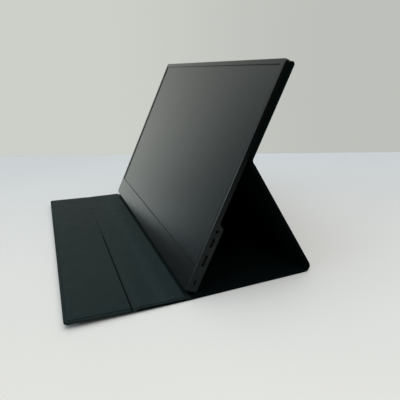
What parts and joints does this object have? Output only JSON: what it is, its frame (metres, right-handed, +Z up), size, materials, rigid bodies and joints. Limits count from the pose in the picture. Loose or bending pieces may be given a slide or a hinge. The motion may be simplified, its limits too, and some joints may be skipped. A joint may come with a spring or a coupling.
{
  "type": "portable monitor with folding cover",
  "caption": "Slim portable display held upright by a dark folio cover folded into a stand, with side sockets, a power button and a menu rocker.",
  "frame": {"origin": "On the table under the middle of the object as it stands: centre of its outline seen from above, at table height", "axes": "+X along the screen's width, to the side with the sockets; +Y from the cover's front edge back to the foot of the leg; +Z up from the table"},
  "size_m": [0.3622, 0.2402, 0.2068],
  "materials": {
    "shell_front": "satin black",
    "shell_rear": "satin black",
    "display": "matte anti-glare, unlit",
    "tape": "matt",
    "film": "milky",
    "light_guide": "clear",
    "tray": "plain sheet",
    "lamp": "matt",
    "circuit_board": "green solder mask",
    "ribbon": "glossy",
    "chip": "matt",
    "shield": "tinned",
    "socket": "plated",
    "socket_plastic": "matt black",
    "screw": "plain",
    "speaker": "matt black",
    "switch": "plated",
    "button": "satin black",
    "cover_skin": "dark grey grained imitation leather",
    "cover_lining": "dark grey grained imitation leather",
    "stiffener": "plain fibre board",
    "magnet": "nickel plated"
  },
  "bodies": {
    "base": {"base_skin": "cover_skin", "base_board": "stiffener", "base_lining": "cover_lining", "spine_strip": "cover_skin"},
    "middle_flap": {"middle_skin": "cover_skin", "middle_board": "stiffener", "middle_lining": "cover_lining", "stand_groove_strip": "cover_skin"},
    "front_flap": {"flap_skin": "cover_skin", "flap_board": "stiffener", "flap_lining": "cover_lining", "flap_magnets": "magnet", "reading_groove_strip": "cover_skin"},
    "leg": {"leg_skin": "cover_skin", "leg_board": "stiffener", "leg_lining": "cover_lining"},
    "screen": {"front_bezel": "shell_front", "rear_cover": "shell_rear", "bezel_tape": "tape", "display_glass": "display", "diffuser_films": "film", "light_guide": "light_guide", "reflector_sheet": "film", "display_tray": "tray", "lamp_strip": "lamp", "display_driver_board": "circuit_board", "display_ribbon": "ribbon", "tray_tapes": "tape", "main_board": "circuit_board", "video_processor": "chip", "processor_shield": "shield", "usb_socket": "socket", "video_socket": "socket", "audio_socket": "socket_plastic", "main_board_screws": "screw", "speaker_right": "speaker", "speaker_left": "speaker", "key_board": "circuit_board", "key_switches": "switch", "back_skin": "cover_skin", "back_board": "stiffener", "back_lining": "cover_lining", "back_magnets": "magnet", "back_fold_strip": "cover_skin"},
    "power_button": {"power_button": "button"},
    "menu_rocker": {"menu_rocker": "button"}
  },
  "joints": [
    {"name": "back_fold", "type": "hinge", "parent": "leg", "child": "screen", "pos_m": [0, 0.05683, 0.12245], "axis": [-1, 0, 0], "range_deg": [0, 117], "deforming": ["back_fold_strip"]},
    {"name": "foot_fold", "type": "hinge", "parent": "base", "child": "leg", "pos_m": [0, 0.11388, 0.0062], "axis": [1, 0, 0], "range_deg": [0, 57], "deforming": ["spine_strip"]},
    {"name": "stand_groove_fold", "type": "hinge", "parent": "base", "child": "middle_flap", "pos_m": [0, -0.00869, 0.0022], "axis": [1, 0, 0], "range_deg": [-35, 1.8], "deforming": ["stand_groove_strip"]},
    {"name": "reading_groove_fold", "type": "hinge", "parent": "middle_flap", "child": "front_flap", "pos_m": [0, -0.05896, 0.00378], "axis": [1, 0, 0], "range_deg": [-120, 1.2], "deforming": ["reading_groove_strip"]},
    {"name": "power_press", "type": "slide", "parent": "screen", "child": "power_button", "axis": [1, 0, 0], "range_m": [0, 0.0003], "stiffness_N_per_m": 4000},
    {"name": "menu_rock", "type": "hinge", "parent": "screen", "child": "menu_rocker", "pos_m": [-0.17688, 0.00724, 0.03387], "axis": [0, 0.8878, -0.4602], "range_deg": [-3, 3], "stiffness_Nm_per_rad": 0.05}
  ],
  "couplings": [
    {"joint": "foot_fold", "follows": "back_fold", "ratio": 0.4808}
  ]
}
